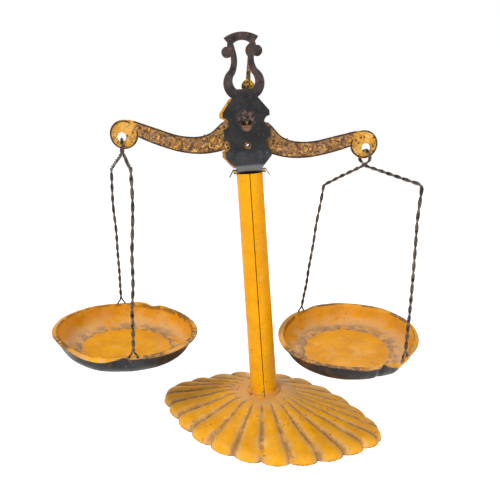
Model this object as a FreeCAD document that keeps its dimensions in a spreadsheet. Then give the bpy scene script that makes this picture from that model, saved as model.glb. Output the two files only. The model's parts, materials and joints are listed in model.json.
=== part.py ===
"""A small tin balance: fluted base, rolled column, lyre-topped head, beam and two hanging pans.

Millimetres. +Z is up, +X runs along the beam to the right, +Y points to the back.
The origin is on the floor, below the foot of the column.
"""
import FreeCAD, Part

import math
import os

import Sketcher
from FreeCAD import Placement, Rotation, Vector

doc = FreeCAD.newDocument("TinBalance")

# ---------------------------------------------------------------- driving dimensions
SIZES = {
    # tin sheet and wire
    "tin": 0.4,
    "beam_tin": 0.5,
    "cord_radius": 0.8,
    "strand_radius": 0.41,
    # base
    "base_half_length": 58.7,
    "base_half_width": 36.4,
    "base_turn": -19.5,
    "base_shift": 2.6,
    "boss_height": 14.9,
    "boss_radius": 9.6,
    "side_flutes": 11,
    # column
    "column_lean": 6.1,
    "column_top": 123.8,
    "foot_radius": 6.6,
    "neck_radius": 6.5,
    "head_radius": 5.85,
    "flange_radius": 8.2,
    "flange_thick": 0.9,
    "seam_gap": 0.35,
    "seam_turn": -2.0,
    "washer_radius": 9.0,
    "washer_thick": 0.9,
    "tab_width": 2.6,
    # head
    "pivot_height": 144.5,
    "plate_gap": 7.0,
    "plate_half_width": 10.1,
    "plate_foot": 5.5,
    "plate_depth": 18.7,
    "back_plate_shift": -1.4,
    "bend_radius": 1.8,
    "seat_half_width": 2.0,
    "seat_height": 2.0,
    "eyelet_drop": 8.6,
    "eyelet_radius": 1.0,
    "eyelet_bore": 0.65,
    "spacer_radius": 1.7,
    # beam
    "hook_reach": 53.9,
    "hook_drop": 7.4,
    "hook_hole": 1.95,
    "beam_tilt": 0.3,
    "stop_notch": 3.4,
    "knife_length": 9.6,
    "knife_half_width": 0.8,
    "knife_depth": 1.7,
    "knife_clearance": 0.05,
    "rivet_reach": 4.5,
    "rivet_drop": 0.7,
    "rivet_radius": 0.5,
    "rivet_head": 1.0,
    # bails
    "hang_drop": 0.8,
    "left_front_reach": 27.6,
    "left_front_side": 1.2,
    "left_front_drop": 9.9,
    "left_back_reach": 27.7,
    "left_back_side": -3.6,
    "left_back_drop": 16.0,
    "right_front_reach": 30.0,
    "right_front_side": 0.2,
    "right_front_drop": 12.3,
    "right_back_reach": 23.7,
    "right_back_side": 0.5,
    "right_back_drop": 18.8,
    "rim_drop": 88.3,
    "left_turn": -74.5,
    "right_turn": -53.5,
    # pans
    "pan_radius": 33.8,
    "pan_depth": 10.0,
    "pan_flat": 24.0,
    "pan_turn_reach": 28.3,
    "pan_turn_depth": 8.6,
    "pan_wall_reach": 30.3,
    "pan_wall_depth": 5.6,
    "pan_shoulder": 31.4,
    "foot_reach": 32.5,
    "foot_ring": 1.9,
    "foot_hole": 0.75,
    "left_rock": -2.4,
    "right_rock": 7.0,
    "pan_mass_drop": 6.55,
}

sheet = doc.addObject("Spreadsheet::Sheet", "dims")
for row, (alias, value) in enumerate(SIZES.items(), start=1):
    sheet.set(f"A{row}", alias)
    sheet.set(f"B{row}", str(value))
    sheet.setAlias(f"B{row}", alias)
doc.recompute()


def dim(alias):
    """The number that the sheet holds under this name."""
    return float(getattr(sheet, alias))


# ---------------------------------------------------------------- placing
def turned(point, axis, degrees, about=Vector(0, 0, 0)):
    """A point turned about an axis through another point."""
    return about + Rotation(axis, degrees).multVec(point - about)


Y_AXIS = Vector(0, 1, 0)
Z_AXIS = Vector(0, 0, 1)
boss_centre = Vector(0, 0, dim("boss_height"))
lean_turn = Rotation(Y_AXIS, -dim("column_lean"))
leaned = Placement(Vector(0, 0, 0), lean_turn, boss_centre)
pivot = leaned.multVec(Vector(0, 0, dim("pivot_height")))
head_place = Placement(pivot, lean_turn)
beam_place = Placement(pivot, Rotation(Y_AXIS, dim("beam_tilt")))


def hang_point(side):
    """Where the bail's wire rests in its hole at the end of the beam: side is -1 or 1."""
    hole = beam_place.multVec(Vector(side * dim("hook_reach"), 0, -dim("hook_drop")))
    return hole - Vector(0, 0, dim("hang_drop"))


# ---------------------------------------------------------------- sketch helpers
def new_body(name, placement=None):
    body = doc.addObject("PartDesign::Body", name)
    body.Label = name
    if placement is not None:
        body.Placement = placement
    return body


def new_sketch(body, role, name, offset=None):
    """A sketch on one of the body's own origin planes, lifted off it by an offset if given."""
    sketch = body.newObject("Sketcher::SketchObject", name)
    plane = [item for item in body.Origin.OriginFeatures if item.Role == role][0]
    sketch.AttachmentSupport = [(plane, "")]
    sketch.MapMode = "FlatFace"
    if offset is not None:
        sketch.AttachmentOffset = Placement(offset, Rotation())
    return sketch


def flat(x, y):
    return Vector(x, y, 0)


def line(start, end):
    return Part.LineSegment(flat(*start), flat(*end))


def arc(start, middle, end):
    return Part.Arc(flat(*start), flat(*middle), flat(*end))


def spline(points):
    curve = Part.BSplineCurve()
    curve.interpolate([flat(*point) for point in points])
    return curve


def polygon(points):
    return [line(a, b) for a, b in zip(points, points[1:] + points[:1])]


def mirrored(pieces):
    """The left half of an outline, from the right half given as (kind, points) from bottom to top."""
    return [(kind, [(-x, y) for x, y in reversed(points)]) for kind, points in reversed(pieces)]


def draw(sketch, pieces):
    makers = {"line": lambda p: line(*p), "arc": lambda p: arc(*p), "spline": spline}
    for kind, points in pieces:
        sketch.addGeometry(makers[kind](points), False)


def add_circle(sketch, x, y, radius_name):
    """A circle whose radius is bound to a cell of the sheet."""
    index = sketch.addGeometry(Part.Circle(flat(x, y), Vector(0, 0, 1), dim(radius_name)), False)
    number = sketch.addConstraint(Sketcher.Constraint("Radius", index, dim(radius_name)))
    sketch.setExpression(f"Constraints[{number}]", f"dims.{radius_name}")


def pad(body, sketch, name, length, symmetric=False, reverse=False):
    feature = body.newObject("PartDesign::Pad", name)
    feature.Profile = sketch
    feature.Midplane = symmetric
    feature.Reversed = reverse
    feature.setExpression("Length", length)
    return feature


def cut_through(body, sketch, name):
    """A pocket through the whole body, both ways from its sketch."""
    before = body.Tip
    doc.recompute()
    volume = before.Shape.Volume
    feature = body.newObject("PartDesign::Pocket", name)
    feature.Profile = sketch
    feature.Midplane = True
    feature.Type = "ThroughAll"
    doc.recompute()
    if not feature.Shape.Volume < volume:
        raise RuntimeError(f"{name} cuts nothing")
    return feature


def revolve(body, sketch, name):
    feature = body.newObject("PartDesign::Revolution", name)
    feature.Profile = sketch
    feature.ReferenceAxis = (sketch, ["V_Axis"])
    feature.Angle = 360
    return feature


# ---------------------------------------------------------------- base
def valley_points():
    """The valleys between the flutes along the edge of the base, once round."""
    half_length = dim("base_half_length")
    half_width = dim("base_half_width")
    flutes = int(dim("side_flutes"))
    tip_share = 0.94
    crowding = 1.15
    side = []
    for index in range(flutes + 1):
        share = 2 * index / flutes - 1
        u = tip_share * math.sin(crowding * share) / math.sin(crowding)
        side.append((u * half_length, half_width * (1 - u * u)))
    front = [Vector(u, -v, 0) for u, v in side]
    back = [Vector(u, v, 0) for u, v in reversed(side)]
    return front + back


def flute_wire(share, height, bulge, shrink):
    """One level of the fluted dome.

    share runs from 0 at the round boss to 1 at the edge; bulge is how far each flute
    swells, as a share of its width; shrink moves the level inward. The edge is centred
    base_shift to the right of the boss.
    """
    boss = dim("boss_radius")
    lift = Vector(0, 0, height) + turned(Vector(share * dim("base_shift"), 0, 0), Z_AXIS, -dim("base_turn"))
    valleys = []
    for point in valley_points():
        outward = Vector(point).normalize()
        reach = boss + share * (point.Length - boss) - shrink
        valleys.append(outward * reach)
    edges = []
    for start, end in zip(valleys, valleys[1:] + valleys[:1]):
        middle = (start + end) / 2
        outward = Vector(middle).normalize()
        if share == 0:
            crest = outward * start.Length
        else:
            crest = middle + outward * (bulge * (end - start).Length)
        edges.append(Part.Arc(*[corner + lift for corner in (start, crest, end)]).toShape())
    return Part.Wire(edges)


def fluted_dome(shrink, drop):
    """The solid dome under the outer (or, shrunk and dropped, the inner) surface of the base."""
    boss_height = dim("boss_height")
    levels = [
        # share, height as a share of the boss, bulge of each flute
        (1.00, 0.00, 0.20),
        (0.995, 0.12, 0.21),
        (0.96, 0.26, 0.19),
        (0.88, 0.36, 0.16),
        (0.55, 0.60, 0.15),
        (0.22, 0.88, 0.13),
        (0.00, 1.00, 0.0),
    ]
    turn_back = -dim("base_turn")
    wires = []
    for share, height, bulge in levels:
        z = height * boss_height - drop
        wire = flute_wire(share, z, bulge, shrink)
        if share == 0:
            # the boss leans with the column, whatever way the base is turned
            wire.rotate(Vector(0, 0, 0), Z_AXIS, -turn_back)
            wire.rotate(Vector(0, 0, z), Y_AXIS, -dim("column_lean"))
            wire.rotate(Vector(0, 0, 0), Z_AXIS, turn_back)
        wires.append(wire)
    return Part.makeLoft(wires, True, True)


def make_base():
    outer = fluted_dome(0, 0)
    inner = fluted_dome(dim("tin"), dim("tin"))
    shell = outer.cut(inner)
    shell.rotate(Vector(0, 0, 0), Z_AXIS, dim("base_turn"))
    bore = Part.makeCylinder(dim("neck_radius") + 0.05, 10, Vector(0, 0, dim("boss_height") - 5))
    bore.rotate(boss_centre, Y_AXIS, -dim("column_lean"))
    base = doc.addObject("Part::Feature", "base_shell")
    base.Shape = shell.cut(bore)
    return base


# ---------------------------------------------------------------- column
def make_column():
    body = new_body("column_tube", leaned.multiply(Placement(Vector(), Rotation(Z_AXIS, dim("seam_turn")))))
    wall = dim("tin")
    boss = dim("boss_height")
    top = dim("column_top")
    foot = dim("foot_radius")
    neck = dim("neck_radius")
    head = dim("head_radius")
    flange = dim("flange_radius")
    flange_top = boss + dim("flange_thick")
    lip_top = boss - dim("tin") - dim("washer_thick")
    lip_bottom = lip_top - wall
    profile = new_sketch(body, "XZ_Plane", "column_profile")
    for edge in polygon([
        (neck - wall, lip_bottom),
        (neck + 1.1, lip_bottom),
        (neck + 1.1, lip_top),
        (neck, lip_top),
        (neck, boss),
        (flange, boss),
        (flange, flange_top),
        (foot + 0.2, flange_top),
        (foot, flange_top + 0.5),
        (head, top),
        (head - wall, top),
        (foot - wall, flange_top + 0.5),
        (neck - wall, boss - 0.2),
    ]):
        profile.addGeometry(edge, False)
    revolve(body, profile, "column_wall")

    # the two tabs at the top: up through the plates' flanges, then folded out and down
    inner = head - wall
    fold = top + 3 * wall + 0.1
    section = [
        (inner, top - 1.0),
        (head, top - 1.0),
        (head, fold),
        (head + 1.3, fold),
        (head + 3.0, top - 1.6),
        (head + 3.3, top - 1.3),
        (head + 1.5, fold + wall),
        (inner, fold + wall),
    ]
    tabs = new_sketch(body, "XZ_Plane", "tab_profiles")
    for sign in (-1, 1):
        for edge in polygon([(sign * x, z) for x, z in section]):
            tabs.addGeometry(edge, False)
    tab_pair = pad(body, tabs, "tab_pair", "dims.tab_width", symmetric=True)

    # the open seam down the front, through the flange as well
    half_gap = dim("seam_gap") / 2
    seam = new_sketch(body, "XZ_Plane", "seam_profile")
    for edge in polygon([(-half_gap, 0), (half_gap, 0), (half_gap, top + 1), (-half_gap, top + 1)]):
        seam.addGeometry(edge, False)
    doc.recompute()
    volume = tab_pair.Shape.Volume
    slot = body.newObject("PartDesign::Pocket", "seam")
    slot.Profile = seam
    slot.Type = "Length"
    slot.Reversed = True
    slot.setExpression("Length", "dims.flange_radius + 1")
    doc.recompute()
    if not slot.Shape.Volume < volume:
        raise RuntimeError("the seam cuts nothing")
    return body


def make_washer():
    body = new_body("foot_washer", leaned)
    disc = new_sketch(body, "XY_Plane", "washer_profile")
    add_circle(disc, 0, 0, "washer_radius")
    bore = disc.addGeometry(Part.Circle(flat(0, 0), Vector(0, 0, 1), dim("neck_radius") + 0.05), False)
    number = disc.addConstraint(Sketcher.Constraint("Radius", bore, dim("neck_radius") + 0.05))
    disc.setExpression(f"Constraints[{number}]", "dims.neck_radius + 0.05")
    disc.AttachmentOffset = Placement(
        Vector(0, 0, dim("boss_height") - dim("tin") - dim("washer_thick")), Rotation())
    pad(body, disc, "washer_disc", "dims.washer_thick")
    return body


# ---------------------------------------------------------------- head plates
def plate_side():
    """The right side of both head plates, from the bottom up to the neck."""
    half = dim("plate_half_width")
    notch = half - 2.4
    return [
        ("line", [(dim("plate_foot"), -dim("plate_depth")), (half, -13.4)]),
        ("line", [(half, -13.4), (half, -10.8)]),
        ("arc", [(half, -10.8), (notch, -8.3), (half, -5.8)]),
        ("line", [(half, -5.8), (half, -1.3)]),
        ("arc", [(half, -1.3), (notch, 1.1), (half, 3.5)]),
        ("line", [(half, 3.5), (half, 5.6)]),
        ("line", [(half, 5.6), (5.5, 11.3)]),
    ]


def lyre_side():
    """The right outer side of the lyre, from the neck up to the end of its top bar."""
    return [
        ("arc", [(5.5, 11.3), (8.7, 16.8), (6.0, 22.6)]),
        ("arc", [(6.0, 22.6), (4.9, 25.4), (4.9, 27.9)]),
        ("arc", [(4.9, 27.9), (8.5, 29.9), (6.0, 31.9)]),
        ("line", [(6.0, 31.9), (5.8, 33.4)]),
        ("line", [(5.8, 33.4), (7.2, 35.2)]),
    ]


def lyre_window_side():
    """The right side of the lyre's window, from its bottom corner to its top corner."""
    return [
        ("arc", [(3.2, 14.9), (4.7, 17.6), (3.5, 21.0)]),
        ("arc", [(3.5, 21.0), (2.3, 25.0), (2.5, 29.5)]),
        ("line", [(2.5, 29.5), (3.3, 33.0)]),
    ]


def closed(side, top):
    """A whole outline: right side, top, mirrored left side and the bottom line."""
    right_foot = side[0][1][0]
    left_foot = (-right_foot[0], right_foot[1])
    return side + top + mirrored(side) + [("line", [left_foot, right_foot])]


def bend_section(facing, floor):
    """The sheet's section (y, z) where a plate turns inward and lies on the column.

    floor is the height of the flange's underside, measured from the pivot.
    """
    tin = dim("tin")
    inner_face = dim("plate_gap") / 2
    outer_face = inner_face + tin
    bend = dim("bend_radius")
    sheet_end = -dim("plate_depth") + 0.8
    far = 0.1 - (outer_face - bend)
    on_diagonal = 1 - math.sqrt(0.5)
    outer_arc = [
        (outer_face, floor + bend),
        (outer_face - bend * on_diagonal, floor + bend * on_diagonal),
        (outer_face - bend, floor),
    ]
    small = bend - tin
    inner_arc = [
        (outer_face - bend, floor + tin),
        (inner_face - small * on_diagonal, floor + tin + small * on_diagonal),
        (inner_face, floor + bend),
    ]
    section = [
        ("line", [(outer_face, sheet_end), outer_arc[0]]),
        ("arc", outer_arc),
        ("line", [outer_arc[-1], (far, floor)]),
        ("line", [(far, floor), (far, floor + tin)]),
        ("line", [(far, floor + tin), inner_arc[0]]),
        ("arc", inner_arc),
        ("line", [inner_arc[-1], (inner_face, sheet_end)]),
        ("line", [(inner_face, sheet_end), (outer_face, sheet_end)]),
    ]
    return [(kind, [(facing * y, z) for y, z in points]) for kind, points in section]


def lip_section(facing, top):
    """The section (y, z) of the lip below the bearing slot, curled outward."""
    sheet_face = dim("plate_gap") / 2 + dim("tin")
    corners = [
        (sheet_face - dim("tin") / 2, top),
        (sheet_face - dim("tin") / 2, top - 0.9),
        (sheet_face + 0.3, top - 0.8),
        (sheet_face + 0.9, top - 0.2),
        (sheet_face + 0.7, top),
    ]
    return polygon([(facing * y, z) for y, z in corners])


def rectangle(x_low, x_high, y_low, y_high):
    return polygon([(x_low, y_low), (x_high, y_low), (x_high, y_high), (x_low, y_high)])


def add_edges(sketch, edges):
    for edge in edges:
        sketch.addGeometry(edge, False)


def make_plate(name, facing, outline, window=None):
    """A head plate with its bearing slot, eyelet hole, lip and bottom flange.

    facing is -1 for the front plate and 1 for the back one. The body's frame has its
    origin at the pivot.
    """
    body = new_body(name, head_place)
    # a sketch on the XZ plane looks along -Y, so its offset is turned round
    face = new_sketch(body, "XZ_Plane", name + "_outline", Vector(0, 0, -facing * dim("plate_gap") / 2))
    draw(face, outline)
    if window is not None:
        draw(face, window)
    seat = dim("seat_half_width")
    seat_floor = -dim("knife_clearance")
    add_edges(face, rectangle(-seat, seat, seat_floor, seat_floor + dim("seat_height")))
    add_circle(face, 0, -dim("eyelet_drop"), "eyelet_radius")
    pad(body, face, name + "_sheet", "dims.tin", reverse=facing > 0)

    lip = new_sketch(body, "YZ_Plane", name + "_lip_profile")
    add_edges(lip, lip_section(facing, seat_floor))
    pad(body, lip, name + "_lip", "2 * dims.seat_half_width + 0.4", symmetric=True)

    # the back plate's flange lies on the front plate's
    floor = dim("column_top") - dim("pivot_height") + (dim("tin") if facing > 0 else 0)
    bend = new_sketch(body, "YZ_Plane", name + "_bend_profile")
    draw(bend, bend_section(facing, floor))
    pad(body, bend, name + "_bend", "2 * dims.plate_foot", symmetric=True)

    # two ears on the flange, each with a slot for a tab of the column
    ear_reach = dim("head_radius") + 1.35
    ear_half = dim("tab_width") / 2 + 0.75
    ears = new_sketch(body, "XY_Plane", name + "_ear_profile", Vector(0, 0, floor))
    add_edges(ears, rectangle(-ear_reach, ear_reach, -ear_half, ear_half))
    pad(body, ears, name + "_ears", "dims.tin")
    slack = 0.1
    side_slack = 0.3
    slot_near = dim("head_radius") - dim("tin") - slack
    slot_far = dim("head_radius") + slack
    slot_half = dim("tab_width") / 2 + side_slack
    slots = new_sketch(body, "XY_Plane", name + "_slot_profile", Vector(0, 0, floor))
    add_edges(slots, rectangle(slot_near, slot_far, -slot_half, slot_half))
    add_edges(slots, rectangle(-slot_far, -slot_near, -slot_half, slot_half))
    cut_through(body, slots, name + "_slots")
    return body


def make_front_plate():
    side = plate_side() + lyre_side()
    top = [("arc", [(7.2, 35.2), (0, 37.3), (-7.2, 35.2)])]
    window = closed(lyre_window_side(), [("arc", [(3.3, 33.0), (0, 34.1), (-3.3, 33.0)])])
    return make_plate("front_plate", -1, closed(side, top), window)


def make_back_plate():
    """The back plate: its outline was cut a little to the left of the holes and the flange."""
    top = [("arc", [(5.5, 11.3), (0, 12.9), (-5.5, 11.3)])]
    shift = dim("back_plate_shift")
    outline = [(kind, [(x + shift, z) for x, z in points]) for kind, points in closed(plate_side(), top)]
    return make_plate("back_plate", 1, outline)


def make_spacer():
    """The plain tube between the plates, on the eyelet."""
    length = dim("plate_gap")
    outer = doc.addObject("Part::Cylinder", "spacer_outer")
    outer.setExpression("Radius", "dims.spacer_radius")
    outer.setExpression("Height", "dims.plate_gap")
    inner = doc.addObject("Part::Cylinder", "spacer_bore")
    inner.setExpression("Radius", "dims.eyelet_radius")
    inner.setExpression("Height", "dims.plate_gap")
    tube = doc.addObject("Part::Cut", "plate_spacer")
    tube.Base = outer
    tube.Tool = inner
    lying = Placement(Vector(0, length / 2, -dim("eyelet_drop")), Rotation(Vector(1, 0, 0), 90))
    tube.Placement = head_place.multiply(lying)
    return tube


def make_eyelet():
    """The hollow rivet through both plates, rolled over at each end."""
    body = new_body("plate_eyelet", head_place.multiply(
        Placement(Vector(0, 0, -dim("eyelet_drop")), Rotation(Vector(1, 0, 0), 90))))
    radius = dim("eyelet_radius")
    bore = dim("eyelet_bore")
    face = dim("plate_gap") / 2 + dim("tin")
    head = radius + 0.55
    end = face + 0.35
    profile = new_sketch(body, "XZ_Plane", "eyelet_profile")
    draw(profile, [
        ("line", [(bore, -end), (radius, -end)]),
        ("arc", [(radius, -end), (head - 0.1, -end + 0.1), (head, -face)]),
        ("line", [(head, -face), (radius, -face)]),
        ("line", [(radius, -face), (radius, face)]),
        ("line", [(radius, face), (head, face)]),
        ("arc", [(head, face), (head - 0.1, end - 0.1), (radius, end)]),
        ("line", [(radius, end), (bore, end)]),
        ("line", [(bore, end), (bore, -end)]),
    ])
    revolve(body, profile, "eyelet_wall")
    return body


# ---------------------------------------------------------------- beam group
def knife_triangle():
    half = dim("knife_half_width")
    depth = dim("knife_depth")
    return polygon([(0, 0), (half, depth), (-half, depth)])


def beam_side():
    """The right half of the beam's edge, from the stop notch along the bottom and back along the top.

    Heights are measured from the pivot.
    """
    drop = dim("hook_drop")
    ring_x = dim("hook_reach") - 1.0
    ring_z = 1.25 - drop
    ring = 6.05
    lower = [(3.2, -2.85), (7.3, -3.3), (12.0, -4.6), (18.0, -5.75), (24.0, -5.85), (30.0, -5.1), (36.0, -3.6),
             (42.0, -1.7), (ring_x - 5.3, 0.5)]
    upper = [(ring_x, 7.3), (ring_x - 4.4, 7.0), (44.5, 5.9), (37.5, 3.9), (31.0, 2.1), (25.0, 1.4), (19.5, 1.9),
             (15.0, 3.9), (12.4, 6.4), (9.6, 8.9)]
    lower = [(x, z - drop) for x, z in lower]
    upper = [(x, z - drop) for x, z in upper]
    inside = (ring_x - 5.55, ring_z - math.sqrt(ring ** 2 - 5.55 ** 2))
    return [
        ("spline", lower),
        ("line", [lower[-1], inside]),
        ("arc", [inside, (ring_x + 2.6, ring_z - math.sqrt(ring ** 2 - 2.6 ** 2)), (ring_x + ring, ring_z)]),
        ("arc", [(ring_x + ring, ring_z), (ring_x + ring * 0.7071, ring_z + ring * 0.7071), upper[0]]),
        ("spline", upper),
    ]


def make_beam():
    body = new_body("beam", beam_place)
    outline = new_sketch(body, "XZ_Plane", "beam_outline")
    side = beam_side()
    start = side[0][1][0]
    end = side[-1][1][-1]
    notch_top = -dim("eyelet_drop") + dim("stop_notch")
    draw(outline, side)
    draw(outline, [("arc", [end, (0, end[1] + 0.9), (-end[0], end[1])])])
    draw(outline, mirrored(side))
    draw(outline, [("arc", [(-start[0], start[1]), (0, notch_top), start])])
    for edge in knife_triangle():
        outline.addGeometry(edge, False)
    for sign in (-1, 1):
        add_circle(outline, sign * dim("hook_reach"), -dim("hook_drop"), "hook_hole")
        add_circle(outline, sign * dim("rivet_reach"), -dim("rivet_drop"), "rivet_radius")
    pad(body, outline, "beam_sheet", "dims.beam_tin", symmetric=True)
    return body


def make_knife():
    body = new_body("knife_edge", beam_place)
    section = new_sketch(body, "XZ_Plane", "knife_section")
    for edge in knife_triangle():
        section.addGeometry(edge, False)
    pad(body, section, "knife_bar", "dims.knife_length", symmetric=True)
    return body


def make_pointer():
    """The pointer lies against the back of the beam and stands up behind the lyre."""
    body = new_body("pointer", beam_place)
    outline = new_sketch(body, "XZ_Plane", "pointer_outline", Vector(0, 0, -dim("beam_tin") / 2))
    disc = 2.8
    disc_z = 16.2
    stem = 1.15
    neck = 0.65
    entry = math.sqrt(disc ** 2 - stem ** 2)
    leave = math.sqrt(disc ** 2 - 1.0)
    side = [
        ("line", [(6.0, -2.4), (6.0, 1.2)]),
        ("line", [(6.0, 1.2), (stem + 1.0, 2.2)]),
        ("line", [(stem + 1.0, 2.2), (stem, 5.0)]),
        ("line", [(stem, 5.0), (stem, disc_z - entry)]),
        ("arc", [(stem, disc_z - entry), (disc, disc_z), (1.0, disc_z + leave)]),
        ("line", [(1.0, disc_z + leave), (neck, 28.3)]),
        ("arc", [(neck, 28.3), (1.75, 30.6), (0, 33.4)]),
    ]
    bottom = ("line", [(-6.0, -2.4), (6.0, -2.4)])
    draw(outline, side + mirrored(side) + [bottom])
    for edge in knife_triangle():
        outline.addGeometry(edge, False)
    for sign in (-1, 1):
        add_circle(outline, sign * dim("rivet_reach"), -dim("rivet_drop"), "rivet_radius")
    pad(body, outline, "pointer_sheet", "dims.tin", reverse=True)
    return body


def make_rivets():
    """Two small rivets through the beam and the pointer, as one group of separate solids."""
    shank = dim("rivet_radius")
    head = dim("rivet_head")
    rise = 0.4
    brim = 0.12
    crown = 0.45 * head
    # half of the section (radius, y), from the front head's middle to the back one's
    front = -dim("beam_tin") / 2
    back = dim("beam_tin") / 2 + dim("tin")
    front_side = [(0, front - rise), (crown, front - rise), (head, front - brim), (head, front), (shank, front)]
    back_side = [(shank, back), (head, back), (head, back + brim), (crown, back + rise), (0, back + rise)]
    corners = [Vector(x, y, 0) for x, y in front_side + back_side]
    solids = []
    for sign in (-1, 1):
        rivet = Part.Face(Part.makePolygon(corners + corners[:1])).revolve(Vector(0, 0, 0), Y_AXIS, 360)
        rivet.translate(Vector(sign * dim("rivet_reach"), 0, -dim("rivet_drop")))
        solids.append(rivet)
    group = doc.addObject("Part::Feature", "pointer_rivets")
    group.Shape = Part.makeCompound(solids)
    group.Placement = beam_place
    return group


# ---------------------------------------------------------------- bails
def rounded_path(points, radii):
    """Straight runs through the points, with a tangent arc of the given radius at each inner one."""
    edges = []
    previous = points[0]
    for index in range(1, len(points) - 1):
        corner = points[index]
        back = (points[index - 1] - corner).normalize()
        ahead = (points[index + 1] - corner).normalize()
        half_angle = back.getAngle(ahead) / 2
        setback = radii[index - 1] / math.tan(half_angle)
        start = corner + back * setback
        end = corner + ahead * setback
        bisector = (back + ahead).normalize()
        middle = corner + bisector * (radii[index - 1] / math.sin(half_angle) - radii[index - 1])
        edges.append(Part.LineSegment(previous, start).toShape())
        edges.append(Part.Arc(start, middle, end).toShape())
        previous = end
    edges.append(Part.LineSegment(previous, points[-1]).toShape())
    return Part.Wire(edges)


def shoulder(prefix, direction):
    """Where a bail's shoulder is bent: direction is 1 for the front one and -1 for the back one."""
    return Vector(direction * dim(prefix + "_reach"), dim(prefix + "_side"), -dim(prefix + "_drop"))


def make_bail(hand, side):
    """The bent wire bail: an eye through the beam, two shoulders, two legs and a ring at each foot.

    Its frame has its origin where the wire rests in the beam, and +X in the bail's own plane.
    Each shoulder is bent by hand, so that no two lie quite alike.
    """
    cord = dim("cord_radius")
    foot = dim("foot_reach")
    ring = dim("foot_ring")
    rim = -dim("rim_drop")
    apart = cord + 0.06
    crossing_drop = 7.2
    eye_half_width = 3.7
    eye_drop = 4.2
    eye_half_angle = math.radians(52.5)
    eye_radius = 1.5
    eye_top = eye_radius * (1 / math.cos(eye_half_angle) - 1)
    points = [
        Vector(foot - 0.1, 0, rim + ring),
        shoulder(hand + "_front", 1),
        Vector(0, apart, -crossing_drop),
        Vector(-eye_half_width, apart / 3, -eye_drop),
        Vector(0, 0, eye_top),
        Vector(eye_half_width, -apart / 3, -eye_drop),
        Vector(0, -apart, -crossing_drop),
        shoulder(hand + "_back", -1),
        Vector(-foot + 0.1, 0, rim + ring),
    ]
    shoulder_radius = 2.6
    crossing_radius = 3.0
    side_radius = 1.4
    corner_radii = [shoulder_radius, crossing_radius, side_radius, eye_radius]
    path = rounded_path(points, corner_radii + corner_radii[2::-1])
    start_direction = points[1] - points[0]
    section = Part.Wire([Part.Circle(points[0], start_direction, cord).toShape()])
    wire = path.makePipeShell([section], True, True)
    for sign in (-1, 1):
        loop = Part.makeTorus(ring, dim("strand_radius"), Vector(sign * foot, 0, rim), Vector(1, 0, 0))
        wire = wire.fuse(loop)
    bail = doc.addObject("Part::Feature", hand + "_bail")
    bail.Shape = wire.removeSplitter()
    bail.Placement = Placement(hang_point(side), Rotation(Z_AXIS, dim(hand + "_turn")))
    return bail


# ---------------------------------------------------------------- pans
def make_pan(hand, side):
    """A shallow pressed dish with a turned-out rim and a pair of holes at each foot of its bail.

    Its frame has its origin midway between the feet and +X through them. The dish sits off
    that line by as much as makes it hang rocked by its own weight.
    """
    name = hand + "_pan"
    feet_centre = hang_point(side) - Vector(0, 0, dim("rim_drop"))
    rock = dim(hand + "_rock")
    off_line = dim("pan_mass_drop") * math.tan(math.radians(rock))
    across_feet = Rotation(Z_AXIS, dim(hand + "_turn")).multiply(Rotation(Vector(1, 0, 0), rock))
    body = new_body(name, Placement(feet_centre, across_feet))
    tin = dim("tin")
    top = tin / 2
    bottom = -dim("pan_depth")
    flat_radius = dim("pan_flat")
    shoulder_radius = dim("pan_shoulder")
    edge = dim("pan_radius")
    outer_turn = (dim("pan_turn_reach"), -dim("pan_turn_depth"))
    outer_wall = (dim("pan_wall_reach"), -dim("pan_wall_depth"))
    inner_turn = (outer_turn[0] - 0.7 * tin, outer_turn[1] + 0.7 * tin)
    inner_wall = (outer_wall[0] - 0.97 * tin, outer_wall[1] + 0.2 * tin)
    profile = new_sketch(body, "XZ_Plane", name + "_profile", Vector(0, 0, off_line))
    draw(profile, [
        ("line", [(0, bottom), (flat_radius, bottom)]),
        ("arc", [(flat_radius, bottom), outer_turn, outer_wall]),
        ("line", [outer_wall, (shoulder_radius, -top)]),
        ("line", [(shoulder_radius, -top), (edge, -top)]),
        ("line", [(edge, -top), (edge, top)]),
        ("line", [(edge, top), (shoulder_radius - tin, top)]),
        ("line", [(shoulder_radius - tin, top), inner_wall]),
        ("arc", [inner_wall, inner_turn, (flat_radius, bottom + tin)]),
        ("line", [(flat_radius, bottom + tin), (0, bottom + tin)]),
        ("line", [(0, bottom + tin), (0, bottom)]),
    ])
    revolve(body, profile, name + "_dish")
    holes = new_sketch(body, "XY_Plane", name + "_holes")
    for x_sign in (-1, 1):
        for y_sign in (-1, 1):
            add_circle(holes, x_sign * dim("foot_reach"), y_sign * dim("foot_ring"), "foot_hole")
    cut_through(body, holes, name + "_foot_holes")
    return body


# ---------------------------------------------------------------- build and write
parts = [
    make_base(),
    make_column(),
    make_washer(),
    make_front_plate(),
    make_back_plate(),
    make_spacer(),
    make_eyelet(),
    make_beam(),
    make_knife(),
    make_pointer(),
    make_rivets(),
    make_bail("left", -1),
    make_bail("right", 1),
    make_pan("left", -1),
    make_pan("right", 1),
]
doc.recompute()

for item in doc.Objects:
    if "Invalid" in item.State or "Error" in item.State:
        raise RuntimeError(f"{item.Name} did not recompute: {item.State}")
for item in parts:
    if item.Shape.isNull() or not item.Shape.isValid():
        raise RuntimeError(f"{item.Label} has no valid shape")

os.makedirs("parts", exist_ok=True)
for item in parts:
    item.Shape.exportStep(f"parts/{item.Label}.step")
    box = item.Shape.BoundBox
    print(f"{item.Label}: {len(item.Shape.Solids)} solid(s), {item.Shape.Volume:.1f} mm3,"
          f" x {box.XMin:.1f}..{box.XMax:.1f} y {box.YMin:.1f}..{box.YMax:.1f} z {box.ZMin:.1f}..{box.ZMax:.1f}")
print("pivot", pivot, "left hang", hang_point(-1), "right hang", hang_point(1))
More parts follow.
